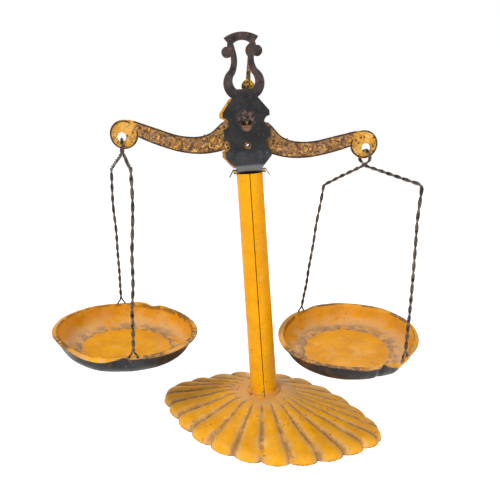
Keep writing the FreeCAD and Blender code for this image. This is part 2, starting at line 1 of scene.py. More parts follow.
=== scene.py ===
"""Looks for the small tin balance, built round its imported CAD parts.

Lengths are in metres, and MM turns millimetres into metres. Materials and the pans' outline
work in millimetres. +X runs along the beam to the right, +Y to the back and +Z up. Places come
from the record's joints and from the CAD nodes.
"""

import json
import math
import random

import bpy
from mathutils import Matrix, Vector, noise
from mathutils.bvhtree import BVHTree


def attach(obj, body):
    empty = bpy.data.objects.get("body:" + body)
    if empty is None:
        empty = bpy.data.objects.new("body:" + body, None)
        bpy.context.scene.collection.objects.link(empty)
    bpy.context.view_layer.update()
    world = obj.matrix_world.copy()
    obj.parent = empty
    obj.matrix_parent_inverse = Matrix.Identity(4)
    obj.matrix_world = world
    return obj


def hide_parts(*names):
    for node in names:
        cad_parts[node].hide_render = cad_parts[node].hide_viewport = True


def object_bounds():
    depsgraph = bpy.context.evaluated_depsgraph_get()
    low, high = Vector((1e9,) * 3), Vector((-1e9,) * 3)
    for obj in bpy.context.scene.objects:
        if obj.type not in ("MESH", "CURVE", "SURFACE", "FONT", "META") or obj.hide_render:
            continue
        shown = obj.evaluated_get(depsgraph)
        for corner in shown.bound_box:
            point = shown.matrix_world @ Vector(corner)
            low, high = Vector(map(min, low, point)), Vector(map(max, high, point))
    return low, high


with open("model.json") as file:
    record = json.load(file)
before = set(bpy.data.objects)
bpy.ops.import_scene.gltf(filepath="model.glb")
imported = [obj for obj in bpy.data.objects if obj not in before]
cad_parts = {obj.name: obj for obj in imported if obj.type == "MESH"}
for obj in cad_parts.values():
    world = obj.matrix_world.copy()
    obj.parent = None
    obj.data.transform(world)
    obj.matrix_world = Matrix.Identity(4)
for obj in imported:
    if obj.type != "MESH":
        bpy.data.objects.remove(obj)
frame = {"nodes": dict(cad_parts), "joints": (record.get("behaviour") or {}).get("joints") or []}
cad_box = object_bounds()

MM = 0.001
SIDES = {"left": -1, "right": 1}
JOINTS = {joint["name"]: joint for joint in frame["joints"]}
PIVOT = Vector(JOINTS["beam_pivot"]["pos_m"])
HANG = {side: Vector(JOINTS[side + "_bail_swing"]["pos_m"]) for side in SIDES}
FEET = {side: Vector(JOINTS[side + "_pan_rock"]["pos_m"]) for side in SIDES}
ALONG = {side: Vector(JOINTS[side + "_pan_rock"]["axis"]) for side in SIDES}

# sizes that part.py holds too
TIN = 0.4 * MM
LEAN = math.radians(6.1)
COLUMN_AXIS = Vector((-math.sin(LEAN), 0, math.cos(LEAN)))
BOSS_HEIGHT = 14.9 * MM
BOSS_TOP = Vector((0, 0, BOSS_HEIGHT))
BOSS_RADIUS = 9.6 * MM
COLUMN_TOP = 123.8 * MM
FOOT_REACH = 32.5 * MM
FOOT_RING = 1.9 * MM
STRAND = 0.41 * MM


# ---------------- small tools
def smooth_step(low, high, value):
    share = min(max((value - low) / (high - low), 0.0), 1.0)
    return share * share * (3 - 2 * share)


def lerp(a, b, share):
    return a + (b - a) * share


def bump_curve(distance, half_width):
    """1 in the middle, falling smoothly to 0 at half_width."""
    return 1 - smooth_step(0, half_width, abs(distance))


def angle_between(a, b):
    """The smaller turn between two directions in degrees."""
    return (a - b + 180) % 360 - 180


def interpolate(stops, x):
    """A height read from a list of (x, height), on straight lines between neighbours."""
    for (x0, h0), (x1, h1) in zip(stops, stops[1:]):
        if x <= x1:
            return lerp(h0, h1, (x - x0) / (x1 - x0))
    return stops[-1][1]


def new_object(name, vertices, faces, materials, smooth=True):
    """A mesh object in the scene, with one material slot for each material."""
    mesh = bpy.data.meshes.new(name)
    mesh.from_pydata([tuple(v) for v in vertices], [], faces)
    mesh.validate()
    for material in materials:
        mesh.materials.append(material)
    if smooth:
        mesh.shade_smooth()
    piece = bpy.data.objects.new(name, mesh)
    bpy.context.scene.collection.objects.link(piece)
    return piece


def applied(piece):
    """Bakes the piece's modifiers into its mesh."""
    bpy.context.view_layer.update()
    result = bpy.data.meshes.new_from_object(piece.evaluated_get(bpy.context.evaluated_depsgraph_get()))
    piece.modifiers.clear()
    piece.data = result
    return piece


def grid_faces(rows, columns):
    """Quads of a grid of vertices stored row by row, its last column joined to the first."""
    faces = []
    for row in range(rows - 1):
        for column in range(columns):
            a = row * columns + column
            b = row * columns + (column + 1) % columns
            faces.append((a, b, b + columns, a + columns))
    return faces


def tube(vertices, faces, points, radius, segments):
    """Adds a capped tube along the points; radius is one value or a list with one for each point."""
    directions = []
    for index in range(len(points)):
        ahead = points[min(index + 1, len(points) - 1)]
        behind = points[max(index - 1, 0)]
        directions.append((ahead - behind).normalized())
    start = directions[0].orthogonal().normalized()
    first = len(vertices)
    for index, (point, direction) in enumerate(zip(points, directions)):
        start = (start - direction * start.dot(direction)).normalized()
        other = direction.cross(start)
        thickness = radius[index] if isinstance(radius, list) else radius
        for corner in range(segments):
            angle = math.tau * corner / segments
            vertices.append(point + (start * math.cos(angle) + other * math.sin(angle)) * thickness)
    rows = len(points)
    faces.extend(tuple(first + i for i in face) for face in grid_faces(rows, segments))
    faces.append(tuple(first + i for i in reversed(range(segments))))
    faces.append(tuple(first + (rows - 1) * segments + i for i in range(segments)))


def rgb(red, green, blue):
    """A colour given as screen values of 0 to 255, in the shader's linear values."""
    screen = (red / 255, green / 255, blue / 255)
    linear = [c / 12.92 if c <= 0.04045 else ((c + 0.055) / 1.055) ** 2.4 for c in screen]
    return (*linear, 1.0)


# ---------------- material builder
class Look:
    """One procedural material, in the piece's own coordinates."""

    def __init__(self, name, metallic=0.0, specular=0.2):
        self.material = bpy.data.materials.new(name)
        self.material.use_nodes = True
        self.tree = self.material.node_tree
        self.shader = self.tree.nodes["Principled BSDF"]
        self.shader.inputs["Metallic"].default_value = metallic
        self.shader.inputs["Specular IOR Level"].default_value = specular
        self.place = self.tree.nodes.new("ShaderNodeTexCoord").outputs["Object"]
        self.colour = None

    def node(self, kind, **inputs):
        made = self.tree.nodes.new(kind)
        for key, value in inputs.items():
            self.put(made.inputs[key], value)
        return made

    def put(self, socket, value):
        if isinstance(value, bpy.types.NodeSocket):
            self.tree.links.new(value, socket)
        else:
            socket.default_value = value

    def moved(self, seed, stretch=(1, 1, 1)):
        """The piece's coordinates, shifted so that each seed gives its own pattern."""
        made = self.node("ShaderNodeMapping", Vector=self.place, Scale=stretch)
        made.inputs["Location"].default_value = (0.37 * seed, 0.11 * seed, 0.23 * seed)
        return made.outputs["Vector"]

    def noise(self, size, seed, detail=3.0, distortion=0.0, stretch=(1, 1, 1)):
        """Noise with features of about this size in millimetres."""
        made = self.node("ShaderNodeTexNoise", Vector=self.moved(seed, stretch), Scale=1 / (size * MM),
                         Detail=detail, Roughness=0.55, Distortion=distortion)
        return made.outputs["Fac"]

    def cells(self, size, seed):
        """The distance from scattered points that lie about this many millimetres apart."""
        made = self.node("ShaderNodeTexVoronoi", Vector=self.moved(seed), Scale=1 / (size * MM))
        return made.outputs["Distance"]

    def band(self, value, low, high, reach=1.0):
        """0 at low, reach at high, eased between and level beyond; low may be the larger."""
        made = self.tree.nodes.new("ShaderNodeMapRange")
        made.interpolation_type = "SMOOTHSTEP"
        for key, given in (("Value", value), ("From Min", low), ("From Max", high), ("To Max", reach)):
            self.put(made.inputs[key], given)
        return made.outputs["Result"]

    def patches(self, size, seed, low, high, reach=1.0, **shape):
        """Noise of this size turned into patches: nothing at low, reach at high."""
        return self.band(self.noise(size, seed, **shape), low, high, reach)

    def math(self, operation, a, b=0.0):
        made = self.tree.nodes.new("ShaderNodeMath")
        made.operation = operation
        self.put(made.inputs[0], a)
        self.put(made.inputs[1], b)
        return made.outputs[0]

    def plus(self, a, b):
        return self.math("ADD", a, b)

    def size_of(self, value):
        return self.math("ABSOLUTE", value)

    def times(self, *values):
        result = values[0]
        for value in values[1:]:
            result = self.math("MULTIPLY", result, value)
        return result

    def mix(self, factor, a, b):
        made = self.tree.nodes.new("ShaderNodeMix")
        made.data_type = "RGBA"
        colours = [socket for socket in made.inputs if socket.type == "RGBA"]
        self.put(made.inputs["Factor"], factor)
        self.put(colours[0], a)
        self.put(colours[1], b)
        return [socket for socket in made.outputs if socket.type == "RGBA"][0]

    def over(self, paint, mask, strength=1.0):
        """Lays another paint over the colour so far, where the mask is."""
        factor = mask if strength == 1.0 else self.times(mask, strength)
        self.colour = self.mix(factor, self.colour, paint)

    def vector_math(self, operation, a, b=(0, 0, 0)):
        made = self.tree.nodes.new("ShaderNodeVectorMath")
        made.operation = operation
        self.put(made.inputs[0], a)
        self.put(made.inputs[1], b)
        return made.outputs

    def along(self, direction, origin):
        """How far a point lies from origin along a direction, in millimetres."""
        offset = self.vector_math("SUBTRACT", self.place, origin)["Vector"]
        return self.vector_math("DOT_PRODUCT", offset, [part / MM for part in direction])["Value"]

    def distance(self, origin, flat=True):
        """How far a point lies from origin in millimetres; flat ignores the height."""
        offset = self.vector_math("SUBTRACT", self.place, origin)["Vector"]
        scaled = self.vector_math("MULTIPLY", offset, (1 / MM, 1 / MM, 0 if flat else 1 / MM))["Vector"]
        return self.vector_math("LENGTH", scaled)["Value"]

    def attribute(self, name):
        made = self.tree.nodes.new("ShaderNodeAttribute")
        made.attribute_name = name
        return made.outputs["Fac"]

    def facing(self, letter):
        """One part (X, Y or Z) of the direction that the surface faces."""
        normal = self.tree.nodes.new("ShaderNodeTexCoord").outputs["Normal"]
        return self.node("ShaderNodeSeparateXYZ", Vector=normal).outputs[letter]

    def finish(self, roughness, bumps=()):
        """Sets the colour so far, the roughness, and bumps given as (height, depth in millimetres)."""
        self.put(self.shader.inputs["Base Color"], self.colour)
        self.put(self.shader.inputs["Roughness"], roughness)
        normal = None
        for height, depth in bumps:
            made = self.node("ShaderNodeBump", Height=height)
            made.inputs["Strength"].default_value = 1.0
            made.inputs["Distance"].default_value = depth * MM
            if normal is not None:
                self.tree.links.new(normal, made.inputs["Normal"])
            normal = made.outputs["Normal"]
        if normal is not None:
            self.tree.links.new(normal, self.shader.inputs["Normal"])
        return self.material


YELLOW = rgb(240, 166, 2)
DEEP_YELLOW = rgb(208, 134, 4)
PALE_YELLOW = rgb(238, 182, 80)
BEIGE = rgb(214, 166, 112)
GRIME = rgb(112, 84, 60)
DARK_GRIME = rgb(62, 44, 32)
RUST = rgb(120, 66, 40)
COPPER = rgb(176, 112, 78)
BLACK = rgb(20, 19, 20)
SLATE = rgb(50, 53, 58)


def specks(look, size, seed, share, radius):
    """A mask of small dots of about this size, kept where a wider noise is above share."""
    dots = look.band(look.cells(size, seed), radius, radius * 0.6)
    patches = look.patches(size * 3.1, seed + 1, share, share + 0.05)
    return look.times(dots, patches)


def enamel(look, seed, deep):
    """Yellow paint with slow changes of tone, fine mottling and soil; deep is how far it darkens."""
    tone = look.patches(9, seed, 0.35, 0.68, deep, detail=4)
    look.colour = look.mix(tone, YELLOW, DEEP_YELLOW)
    fine = look.patches(1.1, seed + 3, 0.5, 0.8, 0.4, detail=5)
    look.over(PALE_YELLOW, fine)
    soil = look.patches(0.9, seed + 4, 0.56, 0.72, 0.45, detail=6, distortion=0.5)
    look.over(rgb(140, 92, 34), soil)


def column_material():
    """Yellow paint on the tube, with painted shade inside it; its heights are millimetres above the boss."""
    look = Look("column_paint", specular=0.1)
    height = look.along(COLUMN_AXIS, BOSS_TOP)
    enamel(look, 1, deep=0.35)
    brown_coat = 0.14
    look.over(rgb(150, 84, 2), brown_coat)
    streaks = look.patches(2.2, 5, 0.6, 0.78, 0.35, detail=5, stretch=(1, 1, 0.25))
    look.over(BEIGE, streaks)
    chips = specks(look, 2.6, 7, 0.57, 0.2)
    look.over(DARK_GRIME, chips, strength=0.85)
    # painted shade: the inside of the tube, seen through its seam, is painted dark brown
    sideways_out = look.along(Vector((math.cos(LEAN), 0, math.sin(LEAN))), BOSS_TOP)
    depth_out = look.along(Vector((0, 1, 0)), BOSS_TOP)
    sideways_square = look.times(sideways_out, sideways_out)
    depth_square = look.times(depth_out, depth_out)
    radius = look.math("SQRT", look.plus(sideways_square, depth_square))
    foot_radius = 6.6
    taper = 0.0092
    skin = look.plus(look.times(height, -taper), foot_radius)
    inside = look.band(look.math("SUBTRACT", radius, skin), 0.0, -0.2)
    look.over(rgb(40, 28, 18), inside)
    # worn collar ring and grime at the foot
    ring = look.times(look.band(height, 2.2, 0.4), 0.8)
    worn = look.patches(1.6, 9, 0.35, 0.6, detail=4)
    look.over(BEIGE, look.times(ring, worn))
    dirt = look.times(look.band(height, 5.0, 0.8),
                      look.patches(2.4, 11, 0.52, 0.66, 0.7, detail=5))
    look.over(GRIME, dirt)
    # the folded tabs: bare copper-brown on the right, painted black on the left as painted shade
    top = (COLUMN_TOP - BOSS_HEIGHT) / MM
    folded = look.band(height, top - 2.5, top - 2.3)
    head_centre = BOSS_TOP + COLUMN_AXIS * (COLUMN_TOP - BOSS_HEIGHT)
    sideways = look.along(Vector((1, 0, 0)), head_centre)
    off_tube = look.band(look.size_of(sideways), 6.2, 6.5)
    above = look.band(height, top + 0.1, top + 0.3)
    is_tab = look.math("MAXIMUM", look.times(folded, off_tube), above)
    copper = look.mix(look.patches(0.8, 13, 0.45, 0.6, detail=4), COPPER, DARK_GRIME)
    tab_copper_and_shade = look.mix(look.band(sideways, -0.5, 0.5), BLACK, copper)
    look.over(tab_copper_and_shade, is_tab)
    roughness = look.patches(3, 15, 0.3, 0.75, 0.25, detail=4)
    roughness = look.plus(roughness, 0.3)
    return look.finish(roughness, [(look.noise(0.7, 17, detail=4), 0.06),
                                   (look.times(chips, -1.0), 0.08)])


def base_material():
    """Yellow paint worn to beige, with grime in the valleys and dark chips near the edge."""
    look = Look("base_paint")
    valley = look.attribute("valley")
    rise = look.attribute("rise")
    enamel(look, 21, deep=0.6)
    bright_coat = 0.14
    look.over(rgb(255, 186, 40), bright_coat)
    # beige worn flanks beside the crests
    worn = look.patches(5.5, 23, 0.44, 0.6, detail=5, distortion=0.6)
    flank = look.band(valley, 0.08, 0.4)
    wear = look.times(worn, look.plus(look.times(flank, 0.65), 0.12))
    look.over(rgb(246, 190, 108), wear)
    # the worn ring of bare paint round the collar
    near_top = look.times(look.band(rise, 0.8, 0.97), 0.75)
    bare = look.times(near_top, look.patches(2.5, 25, 0.3, 0.55, detail=4))
    look.over(BEIGE, bare)
    # grey-brown grime lying in the valleys
    fraying = look.plus(look.times(look.noise(1.7, 27, detail=6), 0.5), 0.25)
    ragged = look.plus(valley, fraying)
    patchy = look.patches(7, 29, 0.3, 0.5, detail=3)
    grime = look.times(look.band(ragged, 0.5, 1.05), patchy)
    look.over(rgb(196, 152, 98), grime, strength=0.75)
    core = look.times(look.band(ragged, 0.86, 1.2), look.patches(4, 31, 0.36, 0.54, detail=4))
    look.over(rgb(128, 92, 56), core, strength=0.55)
    # dark chips, thicker near the edge
    edge = look.band(rise, 0.3, 0.05)
    chips = specks(look, 1.9, 33, 0.56, 0.24)
    small = specks(look, 1.1, 35, 0.5, 0.2)
    chips = look.math("MAXIMUM", chips, look.times(small, edge))
    look.over(RUST, chips, strength=0.8)
    rim = look.times(look.band(rise, 0.07, 0.0), look.patches(1.4, 37, 0.42, 0.56, detail=4))
    look.over(DARK_GRIME, rim, strength=0.85)
    roughness = look.plus(look.times(look.math("MAXIMUM", grime, worn), 0.25), 0.36)
    return look.finish(roughness, [(look.noise(1.0, 41, detail=5), 0.12),
                                   (look.times(chips, -1.0), 0.1)])


def underside_material():
    """Bare grey tin gone brown with rust, under the base."""
    look = Look("base_underside")
    rusty = look.patches(4, 39, 0.4, 0.65, detail=5)
    look.colour = look.mix(rusty, rgb(96, 88, 80), RUST)
    return look.finish(look.plus(look.times(rusty, 0.25), 0.45),
                       [(look.noise(1.0, 43, detail=5), 0.1)])


def japan_material(name, seed, inner_yellow):
    """Black japan worn to rust and slate; the back plate is yellow inside.

    Heights are millimetres above the knife edge, along the column.
    """
    look = Look(name, specular=0.35)
    height = look.along(COLUMN_AXIS, PIVOT)
    look.colour = look.mix(look.patches(5, seed, 0.4, 0.7, 0.75, detail=5), BLACK, rgb(36, 35, 38))
    # slate grey foot of the plate, and a paler band painted as highlight where it bends inward
    foot = look.times(look.band(height, -10.4, -11.6), look.patches(3, seed + 1, 0.3, 0.6, detail=4))
    look.over(SLATE, foot, strength=0.75)
    fold_highlight = look.times(look.band(height, -16.6, -17.6), look.band(height, -19.9, -19.3), 0.6)
    look.over(rgb(120, 120, 126), fold_highlight)
    # brown-grey worn lyre
    lyre = look.band(height, 11.5, 16.5)
    browned = look.times(lyre, look.patches(4, seed + 2, 0.34, 0.6, detail=5))
    look.over(rgb(72, 58, 54), browned, strength=0.75)
    rusty = look.patches(2.2, seed + 3, 0.58, 0.68, detail=6, distortion=0.5)
    rust_share = look.plus(look.times(lyre, 0.6), 0.12)
    look.over(RUST, look.times(rusty, rust_share))
    # pinkish wear round the bearing slot
    slot = look.band(look.distance(PIVOT + COLUMN_AXIS * 2.6 * MM, flat=False), 6.2, 3.4)
    pink = look.patches(1.3, seed + 4, 0.47, 0.6, detail=5)
    look.over(rgb(150, 112, 100), look.times(slot, pink), strength=0.8)
    if not inner_yellow:
        lip = look.band(look.distance(PIVOT - Vector((0, 4.7 * MM, 0.5 * MM)), flat=False), 2.6, 1.7)
        look.over(rgb(132, 92, 72), lip, strength=0.8)
    chips = specks(look, 2.0, seed + 5, 0.57, 0.2)
    look.over(rgb(140, 128, 120), chips, strength=0.75)
    if inner_yellow:
        inside = look.band(look.facing("Y"), -0.5, -0.8)
        edge = look.times(look.band(look.size_of(look.facing("Y")), 0.5, 0.3), 0.9)
        ochre = look.mix(look.patches(1.5, seed + 6, 0.5, 0.65, detail=4), rgb(226, 160, 50), GRIME)
        look.over(ochre, look.math("MAXIMUM", inside, edge))
    roughness = look.plus(look.patches(2.5, seed + 7, 0.3, 0.7, 0.25, detail=4), 0.3)
    return look.finish(roughness, [(look.noise(0.9, seed + 8, detail=5), 0.1),
                                   (look.times(rusty, -1.0), 0.05)])


def beam_material():
    """Ochre print over brown, rubbed to beige, with dark dots and a dark edge line."""
    look = Look("beam_print")
    ochre = look.mix(look.patches(2.6, 51, 0.38, 0.62, detail=4), rgb(206, 144, 40), rgb(222, 170, 84))
    blotch = look.patches(1.7, 53, 0.4, 0.5, detail=3, distortion=0.9)
    ends = look.band(look.size_of(look.along(Vector((1, 0, 0)), PIVOT)), 49, 45)
    blotch_share = look.plus(look.times(ends, 0.7), 0.15)
    look.colour = ochre
    look.over(rgb(116, 82, 50), look.times(blotch, blotch_share))
    rubbed = look.patches(3.4, 55, 0.5, 0.64, detail=4, distortion=0.4)
    look.over(rgb(150, 118, 96), look.times(rubbed, ends), strength=0.6)
    soiled = look.patches(1.8, 58, 0.48, 0.6, 0.6, detail=5)
    look.over(rgb(122, 86, 48), soiled)
    dots = look.band(look.cells(1.9, 57), 0.32, 0.2)
    look.over(rgb(66, 36, 22), dots, strength=0.9)
    fine = specks(look, 0.9, 59, 0.5, 0.25)
    look.over(DARK_GRIME, fine, strength=0.7)
    rim = look.band(look.size_of(look.facing("Y")), 0.8, 0.5)
    look.over(rgb(70, 56, 44), rim, strength=0.9)
    roughness = look.plus(look.times(rubbed, 0.2), 0.42)
    return look.finish(roughness, [(look.noise(0.8, 61, detail=4), 0.12),
                                   (look.times(dots, -1.0), 0.12)])


def relief_material():
    """The embossed scrolls: dark brown with paler patches, partly rubbed wear and partly painted highlight.
    """
    look = Look("beam_relief", specular=0.3)
    rubbed = look.patches(1.6, 63, 0.4, 0.62, detail=4)
    # paler patches: partly rubbed wear, partly painted highlight on the raised scrolls
    look.colour = look.mix(rubbed, rgb(98, 66, 42), rgb(170, 130, 96))
    look.over(rgb(66, 42, 28), look.patches(2.4, 65, 0.5, 0.6, 0.85, detail=4))
    return look.finish(0.5, [(look.noise(0.6, 67, detail=4), 0.05)])


def edge_line_material():
    """The dark printed line that follows the beam's edges."""
    look = Look("beam_edge_line")
    worn = look.patches(2.0, 69, 0.5, 0.66, detail=4)
    look.colour = look.mix(worn, rgb(48, 38, 32), rgb(98, 76, 58))
    return look.finish(0.5, [(look.noise(0.6, 71, detail=4), 0.04)])


def pointer_material():
    """Brown print with gold on the disc and a pinkish stretch near the tip."""
    look = Look("pointer_print")
    height = look.along(Vector((0, 0, 1)), PIVOT)
    gold = look.patches(1.0, 73, 0.48, 0.56, detail=3, distortion=0.8)
    disc = look.times(look.band(height, 12.8, 13.6), look.band(height, 19.4, 18.6))
    look.colour = look.mix(look.patches(2, 75, 0.42, 0.6, detail=4), rgb(62, 44, 32), rgb(96, 66, 44))
    gold_share = look.plus(look.times(disc, 0.75), 0.12)
    look.over(rgb(216, 164, 50), look.times(gold, gold_share))
    pink = look.times(look.band(height, 22.0, 23.0), look.band(height, 26.5, 25.5),
                      look.patches(1.2, 77, 0.42, 0.55, detail=3))
    look.over(rgb(196, 128, 96), pink, strength=0.7)
    return look.finish(0.45, [(look.noise(0.7, 79, detail=4), 0.06)])


def metal_material(name, seed, light, dark, rust, metallic=0.85, rough=0.38):
    """Bare metal, dulled in patches, with this share of rust in small spots."""
    look = Look(name, metallic=metallic)
    patches = look.patches(1.8, seed, 0.38, 0.66, detail=5)
    look.colour = look.mix(patches, light, dark)
    spots = look.patches(0.9, seed + 1, 0.56, 0.68, rust, detail=5, distortion=0.4)
    look.over(RUST, spots)
    roughness = look.plus(look.times(look.math("MAXIMUM", patches, spots), 0.3), rough)
    return look.finish(roughness, [(look.noise(0.35, seed + 2, detail=4), 0.03)])


def pan_inside(side, seed):
    """Yellow paint, rubbed to beige and grey round the pressed ring, with brown dots."""
    look = Look(side + "_pan_inside")
    centre = FEET[side]
    reach = look.distance(centre)
    enamel(look, seed, deep=0.55)
    # the wall stays deep yellow at the top; the turn to the floor is rubbed
    rubbed = look.times(look.band(reach, 19.0, 23.0), look.band(reach, 31.5, 27.0))
    patchy = look.patches(8, seed + 1, 0.3, 0.52, detail=4, distortion=0.4)
    look.over(rgb(222, 176, 118), look.times(rubbed, patchy), strength=0.9)
    grey = look.times(look.band(reach, 19.0, 22.5), look.band(reach, 28.0, 24.0),
                      look.patches(5, seed + 2, 0.43, 0.56, detail=5))
    look.over(rgb(170, 140, 112), grey, strength=0.85)
    floor_wear = look.patches(6, seed + 3, 0.56, 0.7, 0.5, detail=4)
    look.over(rgb(230, 176, 112), floor_wear)
    # painted shade: a patchy brown band just inside the pressed ring
    ring = look.times(look.attribute("ring"), look.patches(2.2, seed + 4, 0.4, 0.55, detail=4))
    look.over(GRIME, ring, strength=0.7)
    chips = specks(look, 2.4, seed + 5, 0.56, 0.16)
    look.over(RUST, chips, strength=0.8)
    lip = look.times(look.band(reach, 31.2, 32.6), look.patches(3, seed + 7, 0.42, 0.6, detail=5))
    look.over(BEIGE, lip, strength=0.7)
    dark = look.times(look.band(look.attribute("lip"), 0.1, 0.7),
                      look.patches(2.4, seed + 9, 0.36, 0.5, detail=5))
    look.over(rgb(104, 80, 60), dark, strength=0.85)
    crease = look.times(look.band(reach, 30.7, 31.1), look.band(reach, 31.9, 31.4),
                        look.patches(3.5, seed + 11, 0.36, 0.5, detail=4))
    look.over(rgb(120, 76, 34), crease, strength=0.75)
    scuffs = look.times(look.band(reach, 30.6, 31.6), specks(look, 1.3, seed + 8, 0.5, 0.24))
    look.over(DARK_GRIME, scuffs, strength=0.75)
    roughness = look.plus(look.times(look.math("MAXIMUM", grey, patchy), 0.2), 0.36)
    return look.finish(roughness, [(look.noise(1.2, seed + 6, detail=5), 0.1),
                                   (look.times(chips, -1.0), 0.08)])


def pan_outside(side, seed):
    """Black paint over brown, thin enough in places to show it."""
    look = Look(side + "_pan_outside", specular=0.3)
    look.colour = look.mix(look.patches(7, seed, 0.4, 0.62, detail=4), BLACK, rgb(40, 38, 40))
    brown = look.patches(10, seed + 1, 0.52, 0.68, detail=5, distortion=0.5)
    look.over(rgb(92, 62, 36), brown, strength=0.75)
    chips = specks(look, 2.2, seed + 2, 0.55, 0.2)
    look.over(rgb(120, 110, 104), chips, strength=0.6)
    roughness = look.plus(look.patches(4, seed + 3, 0.35, 0.7, 0.22, detail=4), 0.33)
    return look.finish(roughness, [(look.noise(1.2, seed + 4, detail=5), 0.12)])


def pan_edge(side, seed):
    """The cut edge of the pan: worn brown paint with dark stretches."""
    look = Look(side + "_pan_edge")
    worn = look.patches(2.2, seed, 0.42, 0.58, detail=4)
    look.colour = look.mix(worn, rgb(150, 104, 50), rgb(120, 98, 78))
    dark = look.patches(4.0, seed + 1, 0.42, 0.54, detail=4)
    look.over(DARK_GRIME, dark)
    return look.finish(0.5, [(look.noise(0.7, seed + 2), 0.04)])


# ---------------- camera, floor, light
def make_camera():
    """The photograph's viewpoint: slightly from the left and above, rolled a little."""
    azimuth = math.radians(-3.6)
    pitch = math.radians(14.65)
    roll = math.radians(2.35)
    target = Vector((-9.93, 0, 87.37)) * MM
    distance = 228.3 * MM
    lens = 35.2
    sensor_width = 36
    nearest_seen = 0.01
    forward = Vector((-math.sin(azimuth) * math.cos(pitch), math.cos(azimuth) * math.cos(pitch),
                      -math.sin(pitch)))
    level = Vector((math.cos(azimuth), math.sin(azimuth), 0))
    upright = level.cross(forward)
    right = level * math.cos(roll) + upright * math.sin(roll)
    up = upright * math.cos(roll) - level * math.sin(roll)
    data = bpy.data.cameras.new("camera")
    data.sensor_width = sensor_width
    data.lens = lens
    data.clip_start = nearest_seen
    camera = bpy.data.objects.new("camera", data)
    bpy.context.scene.collection.objects.link(camera)
    turn = Matrix((right, up, -forward)).transposed()
    camera.matrix_world = Matrix.Translation(target - forward * distance) @ turn.to_4x4()
    bpy.context.scene.camera = camera


def area_light(name, place, aim, size, power, tint=(1, 1, 1)):
    data = bpy.data.lights.new(name, "AREA")
    data.shape = "DISK"
    data.size = size
    data.energy = power
    data.color = tint
    light = bpy.data.objects.new(name, data)
    light.location = place
    light.rotation_euler = (Vector(aim) - Vector(place)).to_track_quat("-Z", "Y").to_euler()
    bpy.context.scene.collection.objects.link(light)


def make_floor():
    """White paper that glows softly away from the object, so that it meets the background."""
    half = 6.0
    white = (1, 1, 1, 1)
    glow_strength = 0.62
    glow_start, glow_full = 24, 34
    look = Look("floor_paper", specular=0.1)
    tone = look.patches(60, 91, 0.3, 0.7, detail=2)
    look.colour = look.mix(tone, (0.93, 0.93, 0.93, 1), (0.95, 0.95, 0.95, 1))
    look.finish(0.9)
    look.shader.inputs["Emission Color"].default_value = white
    glow = look.band(look.distance(Vector((0, 0, 0))), glow_start, glow_full, glow_strength)
    look.put(look.shader.inputs["Emission Strength"], glow)
    corners = [(-half, -half, 0), (half, -half, 0), (half, half, 0), (-half, half, 0)]
    new_object("floor", corners, [(0, 1, 2, 3)], [look.material], smooth=False)


def make_world():
    """A white room that lights the object less strongly than it shows behind it."""
    light_strength, seen_strength = 0.44, 1.0
    world = bpy.data.worlds.new("studio")
    bpy.context.scene.world = world
    world.use_nodes = True
    nodes, links = world.node_tree.nodes, world.node_tree.links
    backdrop = nodes["Background"]
    backdrop.inputs["Color"].default_value = (1, 1, 1, 1)
    seen = nodes.new("ShaderNodeLightPath").outputs["Is Camera Ray"]
    brightness = nodes.new("ShaderNodeMapRange")
    brightness.inputs["To Min"].default_value = light_strength
    brightness.inputs["To Max"].default_value = seen_strength
    links.new(seen, brightness.inputs["Value"])
    links.new(brightness.outputs["Result"], backdrop.inputs["Strength"])


def make_studio():
    make_floor()
    make_world()
    middle = (cad_box[0] + cad_box[1]) / 2
    area_light("key", (-0.45, -0.5, 0.62), middle, size=0.3, power=4.3, tint=(1.0, 0.98, 0.95))
    area_light("fill", (0.6, -0.45, 0.35), middle, size=0.5, power=1.0)
    area_light("rim", (0.15, 0.7, 0.55), middle, size=0.5, power=1.5)
    settings = bpy.context.scene.view_settings
    settings.view_transform = "Standard"
    settings.look = "None"


# ---------------- base
FLUTES_A_SIDE = 11
FLUTE_STEPS = 16
BASE_TURN = math.radians(-19.5)
BASE_SHIFT = 2.6 * MM
BASE_HALF_LENGTH = 58.7 * MM
BASE_HALF_WIDTH = 36.4 * MM
BASE_BORE = 6.75 * MM
# each list runs over the share of the way from the boss to the edge
# height, as a share of the boss's
BASE_HEIGHTS = [(0.0, 1.0), (0.1, 0.965), (0.22, 0.885), (0.38, 0.755), (0.55, 0.61), (0.72, 0.475),
                (0.86, 0.365), (0.93, 0.29), (0.965, 0.22), (0.985, 0.14), (1.0, 0.0)]
# how far a flute reaches past the chord between its valleys, as a share of its width
FLUTE_BULGES = [(0.0, 0.0), (0.22, 0.10), (0.55, 0.14), (0.88, 0.17), (0.98, 0.2), (1.0, 0.195)]
# depth of the valleys, as a share of the deepest
VALLEY_DEPTHS = [(0.0, 0.0), (0.12, 0.25), (0.35, 0.8), (0.8, 1.0), (0.95, 0.55), (1.0, 0.0)]


def base_valleys():
    """The valleys between the flutes at the edge, once round, before the base is turned."""
    tip_share = 0.94
    crowding = 1.15
    side = []
    for index in range(FLUTES_A_SIDE + 1):
        share = 2 * index / FLUTES_A_SIDE - 1
        u = tip_share * math.sin(crowding * share) / math.sin(crowding)
        side.append((u * BASE_HALF_LENGTH, BASE_HALF_WIDTH * (1 - u * u)))
    return [Vector((u, -v, 0)) for u, v in side] + [Vector((u, v, 0)) for u, v in reversed(side)]


